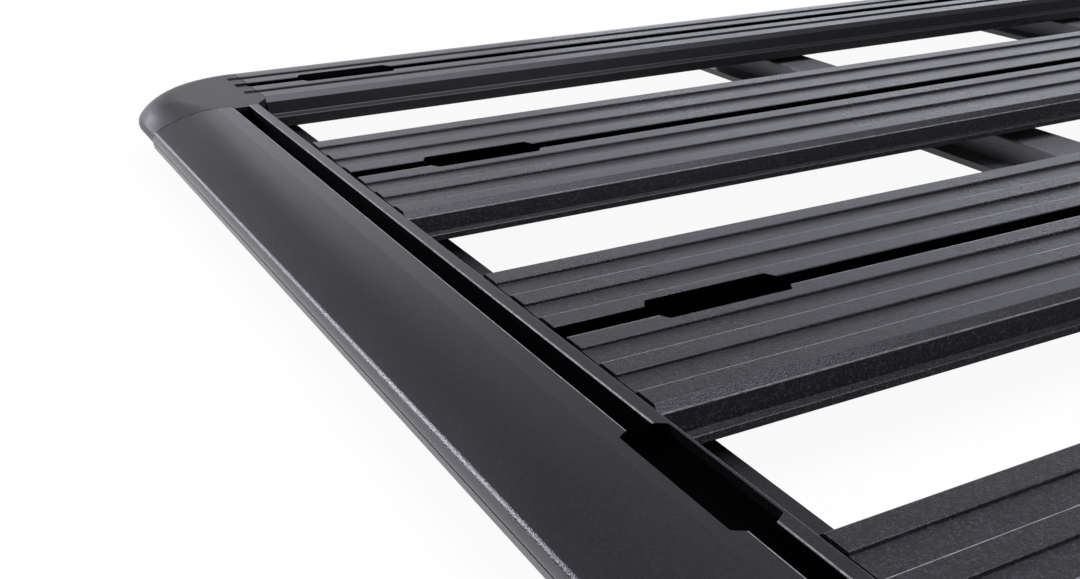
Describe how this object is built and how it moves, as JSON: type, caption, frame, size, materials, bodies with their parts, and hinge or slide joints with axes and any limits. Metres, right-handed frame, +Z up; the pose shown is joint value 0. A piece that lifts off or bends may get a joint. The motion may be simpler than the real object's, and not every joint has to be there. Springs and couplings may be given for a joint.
{
  "type": "flat platform roof rack",
  "caption": "Flat platform roof rack of ribbed slotted planks inside smooth rounded rails with moulded corners, carried on low hat-section cross beams.",
  "frame": {"origin": "centre of the footprint, at the undersides of the cross beams", "axes": "+X along the planks, towards the rear end rail; +Y across the deck, towards the left side rail; +Z up"},
  "size_m": [1.508, 1.229, 0.0268],
  "materials": {
    "powder_coat": "fine-textured satin charcoal powder coat on aluminium extrusion",
    "corner_plastic": "satin charcoal moulded plastic"
  },
  "bodies": {
    "root": {"plank_1": "powder_coat", "plank_2": "powder_coat", "plank_3": "powder_coat", "plank_4": "powder_coat", "plank_5": "powder_coat", "plank_6": "powder_coat", "plank_7": "powder_coat", "end_rail_front": "powder_coat", "end_rail_rear": "powder_coat", "side_rail_left": "powder_coat", "side_rail_right": "powder_coat", "beam_1": "powder_coat", "beam_2": "powder_coat", "beam_3": "powder_coat", "beam_4": "powder_coat", "beam_5": "powder_coat", "corner_front_left": "corner_plastic", "corner_front_right": "corner_plastic", "corner_rear_left": "corner_plastic", "corner_rear_right": "corner_plastic"}
  },
  "joints": []
}
